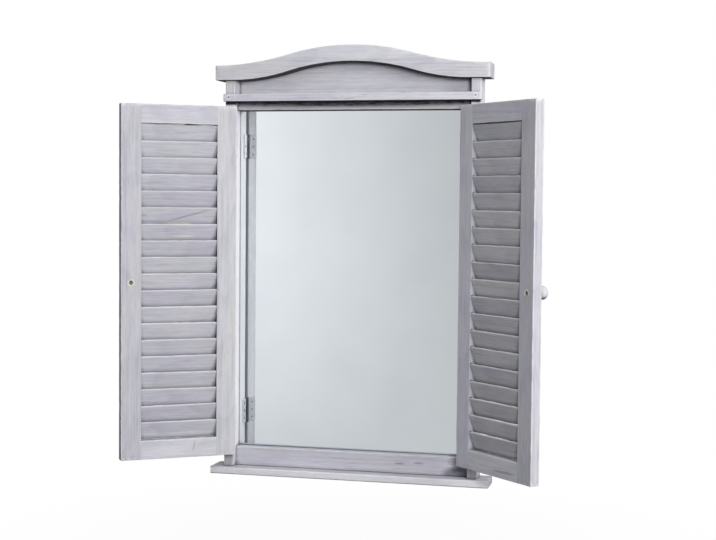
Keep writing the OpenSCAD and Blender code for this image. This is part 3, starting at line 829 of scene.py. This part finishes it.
def cross_recess_head(radius):
    """A countersunk head, its flat face at z = 0 and its body below, with a cross recess."""
    bm = bmesh.new()
    rim = HEAD_RIM * radius
    depth = HEAD_DEPTH * radius
    profile = [(0, 0), (radius - rim, 0), (radius, -rim), (radius * HEAD_FOOT, -depth), (0, -depth)]
    lathe(bm, profile, HEAD_STEPS)
    bmesh.ops.recalc_face_normals(bm, faces=bm.faces)
    head = bpy.data.objects.new("head", finish_mesh(bm, "head"))
    cutter_bm = bmesh.new()
    squared = Matrix.Rotation(math.radians(45), 4, "Z")
    half = ARM_HALF * radius
    for angle in (0, 90):
        turn = Matrix.Rotation(math.radians(angle + ARM_TURN), 4, "Z")
        made = bmesh.ops.create_cone(cutter_bm, cap_ends=True, segments=4, depth=radius * ARM_LONG,
                                     radius1=radius * ARM_DEEP, radius2=radius * ARM_WIDE)
        for v in made["verts"]:
            v.co = squared @ v.co
            v.co.y = max(-half, min(half, v.co.y))
            v.co = turn @ v.co
    cutter = bpy.data.objects.new("cutter", finish_mesh(cutter_bm, "cutter"))
    for o in (head, cutter):
        bpy.context.scene.collection.objects.link(o)
    cut = head.modifiers.new("recess", "BOOLEAN")
    cut.operation = "DIFFERENCE"
    cut.object = cutter
    cut.solver = "EXACT"
    cut.use_self = True
    bpy.context.view_layer.update()
    made = bpy.data.meshes.new_from_object(head.evaluated_get(bpy.context.evaluated_depsgraph_get()))
    for o in (head, cutter):
        bpy.data.objects.remove(o)
    return made


def screw_ends(group):
    """Where a screw's head is: (middle of its face, way the face looks, radius, length)."""
    lo, hi = box_of(group)
    axis = max(range(3), key=lambda i: hi[i] - lo[i])
    middle = (lo + hi) / 2
    others = [i for i in range(3) if i != axis]

    def reach(end):
        return max(
            math.hypot(*(v.co[i] - middle[i] for i in others))
            for v in group if abs(v.co[axis] - end[axis]) < SAME
        )
    up = reach(hi) > reach(lo)
    face = middle.copy()
    face[axis] = hi[axis] if up else lo[axis]
    way = Vector((0, 0, 0))
    way[axis] = 1 if up else -1
    return face, way, reach(hi if up else lo), hi[axis] - lo[axis]


def make_screws(node, place, body, material, head_share=1.0):
    """The node's screws, each with a cross-recessed head and a plain shank. The head fills
    head_share of its countersink."""
    source = node_mesh(node, place)
    bm = bmesh.new()
    for k, group in enumerate(islands(source)):
        face, way, radius, length = screw_ends(group)
        radius *= head_share
        turn = way.to_track_quat("Z", "Y").to_matrix().to_4x4()
        spin = Matrix.Rotation(k * SPIN, 4, "Z")
        here = Matrix.Translation(face - way * HEAD_SUNK) @ turn @ spin
        head = cross_recess_head(radius)
        head.transform(here)
        bm.from_mesh(head)
        shank = radius * SHANK_R
        top, tip = -SHANK_TOP * radius, -(length - HEAD_SUNK)
        profile = [(0, top), (shank, top), (shank, POINT_FROM * tip), (0, tip)]
        lathe(bm, profile, SHANK_STEPS, here)
    source.free()
    bmesh.ops.recalc_face_normals(bm, faces=bm.faces)
    add_piece(finish_mesh(bm, node), node + "_detailed", place, body, material, [node])


# ------------------------------------------------------------------ the object

RAW = srgb(236, 230, 206)
RUBBED = srgb(140, 136, 140)
RUDDY = srgb(186, 158, 146)
OLIVE = srgb(118, 116, 106)
# painted shadow, for the marks where shade falls
PAINTED_SHADOW = srgb(46, 46, 54)
# pale wash on the ledge's nail heads, and painted light on the other faces it marks
PALE_WASH_AND_PAINTED_LIGHT = srgb(240, 240, 244)

# Places of the marks, in millimetres: in the part's frame
POST_INNER, POST_MIDDLE, POST_OUTER = 198, 206, 214   # X of the right post
POST_FRONT, RECESS_FRONT, CROWN_FRONT, SILL_FRONT = -38, -24, -46, -50
MID_HEIGHT = -325        # of the shutters and the glass; the same in a closed shutter's frame
# and in the frame of a closed shutter
INNER_FACE = 18.4        # Y of its inner face
SLAT_X, SLAT_Y = mm(93, 12)   # middle of its slats, in metres


def heads(node, side=None):
    """The middles of a node's screw or nail heads, in a closed shutter's frame if side is given."""
    bm = node_mesh(node, PLACES.get(side, HERE))
    found = [screw_ends(group)[0] for group in islands(bm)]
    bm.free()
    return found


# Each mark: side or None, centre, tilt in degrees, size, colour, strength
FRAME_MARKS = [
    (side, head, 0, mm(7.5, 7.5, 7.5), RAW, 1.0)
    for side in SIDES for head in heads(side + "_knob_screw", side)
] + [
    # the ledge's nail heads, paler in the wash
    (None, head, 0, mm(4.5, 4.5, 4.5), PALE_WASH_AND_PAINTED_LIGHT, 1.0) for head in heads("ledge_nails")
] + [
    # hinge stile: painted shadow beside the slats, and painted light on its edge at the hinges
    ("left", mm(34, 9, MID_HEIGHT), 0, mm(5, 11, 330), PAINTED_SHADOW, 1.4),
    ("left", mm(1, 9, MID_HEIGHT), 0, mm(4, 14, 420), PALE_WASH_AND_PAINTED_LIGHT, 1.0),
    # bottom rail, free stile, bottom rail
    ("left", mm(73, INNER_FACE, -594), -12, mm(1.6, 6, 13), RUBBED, 0.5),
    ("right", mm(-151, INNER_FACE, -176), 0, mm(4, 14, 30), RUDDY, 0.6),
    ("right", mm(-127, INNER_FACE, -602), 2, mm(36, 9, 2.2), RUBBED, 0.7),
    # painted light on the left post's inner side and on the sill's front
    (None, mm(-POST_INNER, -20, MID_HEIGHT), 0, mm(5, 40, 420), PALE_WASH_AND_PAINTED_LIGHT, 0.9),
    (None, mm(0, SILL_FRONT, -643), 0, mm(400, 4, 12), PALE_WASH_AND_PAINTED_LIGHT, 0.8),
    # painted shadow on the feet of the posts
    (None, mm(-POST_MIDDLE, POST_FRONT, -619), 0, mm(16, 7, 22), PAINTED_SHADOW, 0.35),
    (None, mm(POST_MIDDLE, POST_FRONT, -622), 0, mm(16, 7, 24), PAINTED_SHADOW, 0.4),
    # painted shadow on the posts under the ledge; painted light on the right one's outer side and the
    # crown's crest
    (None, mm(-POST_MIDDLE, -35, -28), 0, mm(30, 10, 7), PAINTED_SHADOW, 1.9),
    (None, mm(POST_MIDDLE, POST_FRONT, -29), 0, mm(18, 5, 4), PAINTED_SHADOW, 1.2),
    (None, mm(POST_OUTER, -22, -8), 0, mm(3, 30, 60), PALE_WASH_AND_PAINTED_LIGHT, 0.9),
    (None, mm(20, CROWN_FRONT, 50), 0, mm(130, 5, 16), PALE_WASH_AND_PAINTED_LIGHT, 0.35),
]
RECESS_MARKS = [
    # painted light on the crown panel, painted shadow on the lintel under the ledge
    (None, mm(0, -22, 8), 0, mm(130, 20, 22), PALE_WASH_AND_PAINTED_LIGHT, 0.3),
    (None, mm(0, RECESS_FRONT, -26), 0, mm(400, 9, 14), PAINTED_SHADOW, 1.1),
    # bottom rail
    (None, mm(84, RECESS_FRONT, -619.8), -2, mm(10, 7, 1.7), RUBBED, 0.9),
    (None, mm(116, RECESS_FRONT, -617.6), 0, mm(10, 7, 1.7), RUBBED, 0.8),
    (None, mm(-20, RECESS_FRONT, -616), 2, mm(26, 7, 2), RUBBED, 0.25),
    (None, mm(172, RECESS_FRONT, -612), 0, mm(11, 8, 9), OLIVE, 0.45),
    # painted shadow of the open right shutter on the bottom rail's right end
    (None, mm(184, RECESS_FRONT, -632), 0, mm(36, 9, 15), PAINTED_SHADOW, 0.8),
]
SLAT_MARKS = [
    # painted shadow under the top rails
    (side, (x, SLAT_Y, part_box(side + "_top_rail")[0][2]), 0, mm(120, 16, 2.8), PAINTED_SHADOW, 1.0)
    for side, x in (("left", SLAT_X), ("right", -SLAT_X))
] + [
    ("left", mm(80, 12, -216), 15, mm(52, 14, 1.8), RUBBED, 0.7),
    ("left", mm(98, 12, -229.5), 0, mm(30, 14, 2.8), RAW, 0.9),
    ("left", mm(90, 12, -250), 0, mm(26, 14, 2), RAW, 0.6),
]
GREY, LILAC = srgb(222, 222, 223), srgb(222, 221, 232)
# A darker copy of the frame's wash: on the recessed members it is painted shade, on the slats their own
# darker tone.
DEEP_GREY, DEEP_LILAC = srgb(214, 214, 216), srgb(213, 212, 223)
MATERIALS = {
    "painted_wood": limewash("limewash_frame", GREY, LILAC, FRAME_MARKS),
    "painted_recess": limewash("limewash_recess", DEEP_GREY, DEEP_LILAC, RECESS_MARKS),
    "painted_slat": limewash("limewash_slat", DEEP_GREY, DEEP_LILAC, SLAT_MARKS,
                             SLAT_WEAR_AND_SHEEN, SLAT_WEAR_AND_SHEEN_FROM),
    "bare_wood": bare_wood("beech_dowel", srgb(214, 186, 148), srgb(190, 158, 118), (90, 90, 900)),
    "fibreboard": fibreboard("brown_fibreboard"),
    "steel": plated_steel("plated_steel", srgb(206, 206, 204), srgb(176, 176, 176)),
    "hinge_leaf": hinge_leaf("washed_hinge"),
    "hinge_steel": plated_steel("hinge_steel", srgb(112, 112, 118), srgb(84, 84, 90)),
    "dark_steel": plated_steel("dulled_steel", srgb(98, 95, 92), srgb(72, 69, 66)),
    "washed_steel": washed_steel("washed_steel"),
    "mirror": silvered_glass("silvered_glass"),
}
KNOB_SCREW_SHARE = 0.62  # how much of its countersink a knob screw's head fills
FIXED_SEED, SHUTTER_SEED = 1.0, 20.0   # of the first member of each group


def dress_solid(node, material):
    obj = frame["nodes"][node]
    obj.data.materials.clear()
    obj.data.materials.append(material)


def make_woodwork():
    for k, (node, (axis, slot_name, *wash)) in enumerate(FIXED_WOOD.items()):
        shortest = ARCH_EDGE if node in ("crown_arch", "crown_panel") else LONG_EDGE
        mesh = weathered(node, axis, HERE, wash, FIXED_SEED + k, shortest)
        add_piece(mesh, node + "_wood", HERE, "root", MATERIALS[slot_name], [node])
    for k, (node, (axis, slot_name, *wash)) in enumerate(SHUTTER_WOOD.items()):
        side = node.split("_")[0]
        mesh = weathered(node, axis, PLACES[side], wash, SHUTTER_SEED + k)
        add_piece(mesh, node + "_wood", PLACES[side], side + "_shutter",
                  MATERIALS[slot_name], [node])


def make_fittings():
    for side in SIDES:
        make_knob(side)
        body = side + "_shutter"
        make_screws(side + "_knob_screw", PLACES[side], body, MATERIALS["dark_steel"],
                    KNOB_SCREW_SHARE)
        make_screws(side + "_shutter_leaf_screws", PLACES[side], body, MATERIALS["washed_steel"])
        make_screws(side + "_post_leaf_screws", HERE, "root", MATERIALS["hinge_steel"])
    for node in ("sill_screws", "panel_screws", "hanger_screws"):
        make_screws(node, HERE, "root", MATERIALS["steel"])
    dress_solid("mirror_glass", MATERIALS["mirror"])
    dress_solid("back_board", MATERIALS["fibreboard"])
    for node in ("crown_dowels", "frame_dowels"):
        dress_solid(node, MATERIALS["bare_wood"])
    dress_solid("ledge_nails", MATERIALS["washed_steel"])
    for node in frame["nodes"]:
        if node.endswith(("_plate", "_brads")):
            dress_solid(node, MATERIALS["steel"])
        if node.endswith("_leaf"):
            dress_solid(node, MATERIALS["hinge_leaf"])
        if node.endswith("_pin"):
            dress_solid(node, MATERIALS["hinge_steel"])


# ------------------------------------------------------------------ studio

WHITE = (1, 1, 1, 1)
FLOOR_DROP = 0.15        # the floor lies this far below the sill
FLOOR_R = 9.0
FLOOR_SIDES = 64
FLOOR_COLOUR = (0.8, 0.8, 0.8, 1)
FLOOR_BOUNCE = (0.05, 0.05, 0.05, 1)   # what the floor looks like to the light on the object
FLOOR_SHADE = 0.05       # share of the floor's own shading that the camera sees near the object
FADE_FROM, FADE_TO = 0.2, 0.9   # distances at which the floor turns plain white
LAMP_AIM = (0.0, -0.1, -0.25)
KEY_AT = (0.98, -2.22, 0.17)      # near the camera, a little to its right and above it
KEY_SIZE = 0.55
KEY_POWER = 27.8         # in watts
SIDE_AT = (1.98, -1.15, 0.12)     # from the right, just clear of the open right shutter
SIDE_SIZE = 0.7
SIDE_POWER = 15.0
FROM_ABOVE = 0.34        # strength of the world's light from above
FROM_BELOW = 0.01
FROM_BEHIND = 0.35
FROM_FRONT = 0.44
# Where the world's light changes: from and to which X, Y or Z of a direction, and from and to
# which strength or factor
ABOVE_FROM_Z = (-0.05, 0.35, FROM_BELOW, FROM_ABOVE)
BEHIND_FROM_Y = (0.1, 0.9, 0.0, FROM_BEHIND)
FRONT_FROM_Z = (-0.15, 0.2)
RIGHT_FROM_X = (-0.8, 0.5, 0.50, 1.1)
FAR_RIGHT_FROM_X = (0.5, 0.95, 1.0, 2.4)
MIRROR_FROM_X = (-0.36, -0.12)           # the mirror's view turns from the left to the right one
MIRROR_LEFT_FROM_Z = (-0.42, -0.02, 0.20, 0.99)
MIRROR_RIGHT_FROM_Z = (-0.5, 0.1, 0.71, 0.53)
MIRROR_TINT = (0.975, 1.0, 1.04, 1)


def make_floor():
    lo, _ = CAD_BOX
    mesh = bpy.data.meshes.new("floor")
    bm = bmesh.new()
    bmesh.ops.create_circle(bm, cap_ends=True, segments=FLOOR_SIDES, radius=FLOOR_R)
    bm.to_mesh(mesh)
    bm.free()
    floor = bpy.data.objects.new("floor", mesh)
    floor.location = (0, 0, lo.z - FLOOR_DROP)
    bpy.context.scene.collection.objects.link(floor)
    s = Shader("pale_floor", base_color=FLOOR_COLOUR, roughness=0.9, specular_ior_level=0.0)
    rays = s.add("ShaderNodeLightPath").outputs
    dull = s.add("ShaderNodeBsdfDiffuse", {"Color": FLOOR_BOUNCE}).outputs[0]
    clear = s.add("ShaderNodeBsdfTransparent").outputs[0]
    glow = s.add("ShaderNodeEmission", {"Color": WHITE, "Strength": 1.0}).outputs[0]
    away = s.vector("LENGTH", s.place())
    white = s.ramp(away, FADE_FROM, FADE_TO, 1 - FLOOR_SHADE, 1.0)
    shown = s.mix_shaders(white, s.bsdf.outputs[0], glow)
    seen = s.math("MAXIMUM", rays["Is Camera Ray"], rays["Is Transmission Ray"])
    lit = s.mix_shaders(seen, dull, shown)
    lit = s.mix_shaders(rays["Is Glossy Ray"], lit, clear)
    s.put(s.tree.nodes["Material Output"].inputs["Surface"], lit)
    mesh.materials.append(s.material)


def make_world():
    """White to the camera, soft light on the object, and a pale gradient in the mirror."""
    world = bpy.data.worlds.new("studio")
    bpy.context.scene.world = world
    world.use_nodes = True
    world.node_tree.nodes.clear()
    w = Nodes(world.node_tree)
    rays = w.add("ShaderNodeLightPath").outputs
    x, y, z = w.parts(w.add("ShaderNodeTexCoord").outputs["Generated"])
    above = w.ramp(z, *ABOVE_FROM_Z)
    above = w.math("ADD", above, w.ramp(y, *BEHIND_FROM_Y))
    forward = w.math("MAXIMUM", w.math("MULTIPLY", y, -1.0), 0.0)
    front = w.math("MULTIPLY", forward, FROM_FRONT)
    front = w.math("MULTIPLY", front, w.ramp(z, *FRONT_FROM_Z))
    light = w.math("MULTIPLY", w.math("ADD", above, front), w.ramp(x, *RIGHT_FROM_X))
    light = w.math("MULTIPLY", light, w.ramp(x, *FAR_RIGHT_FROM_X))
    view = w.ramp(x, *MIRROR_FROM_X, w.ramp(z, *MIRROR_LEFT_FROM_Z), w.ramp(z, *MIRROR_RIGHT_FROM_Z))

    def background(colour, strength):
        return w.add("ShaderNodeBackground", {"Color": colour, "Strength": strength}).outputs[0]
    seen = w.math("MAXIMUM", rays["Is Camera Ray"], rays["Is Transmission Ray"])
    both = w.mix_shaders(rays["Is Glossy Ray"], background(WHITE, light), background(MIRROR_TINT, view))
    both = w.mix_shaders(seen, both, background(WHITE, 1.0))
    w.add("ShaderNodeOutputWorld", {"Surface": both})


def add_lamp(name, at, size, power):
    data = bpy.data.lights.new(name, "AREA")
    data.shape = "DISK"
    data.size = size
    data.energy = power
    lamp = bpy.data.objects.new(name, data)
    lamp.location = at
    lamp.rotation_mode = "QUATERNION"
    lamp.rotation_quaternion = (Vector(LAMP_AIM) - Vector(at)).to_track_quat("-Z", "Y")
    lamp.visible_camera = False
    bpy.context.scene.collection.objects.link(lamp)


def make_camera():
    data = bpy.data.cameras.new("camera")
    data.sensor_fit = "HORIZONTAL"
    data.sensor_width = SENSOR_W
    data.lens = FOCAL_PX * SENSOR_W / PHOTO_W
    camera = bpy.data.objects.new("camera", data)
    turn = (
        Matrix.Rotation(math.radians(CAMERA_YAW), 4, "Z")
        @ Matrix.Rotation(math.radians(90 - CAMERA_DOWN), 4, "X")
        @ Matrix.Rotation(math.radians(CAMERA_ROLL), 4, "Z")
    )
    camera.matrix_world = Matrix.Translation(CAMERA_AT) @ turn
    bpy.context.scene.collection.objects.link(camera)
    bpy.context.scene.camera = camera


make_woodwork()
make_fittings()
make_floor()
make_world()
add_lamp("key", KEY_AT, KEY_SIZE, KEY_POWER)
add_lamp("side", SIDE_AT, SIDE_SIZE, SIDE_POWER)
make_camera()
bpy.context.scene.view_settings.view_transform = "Standard"
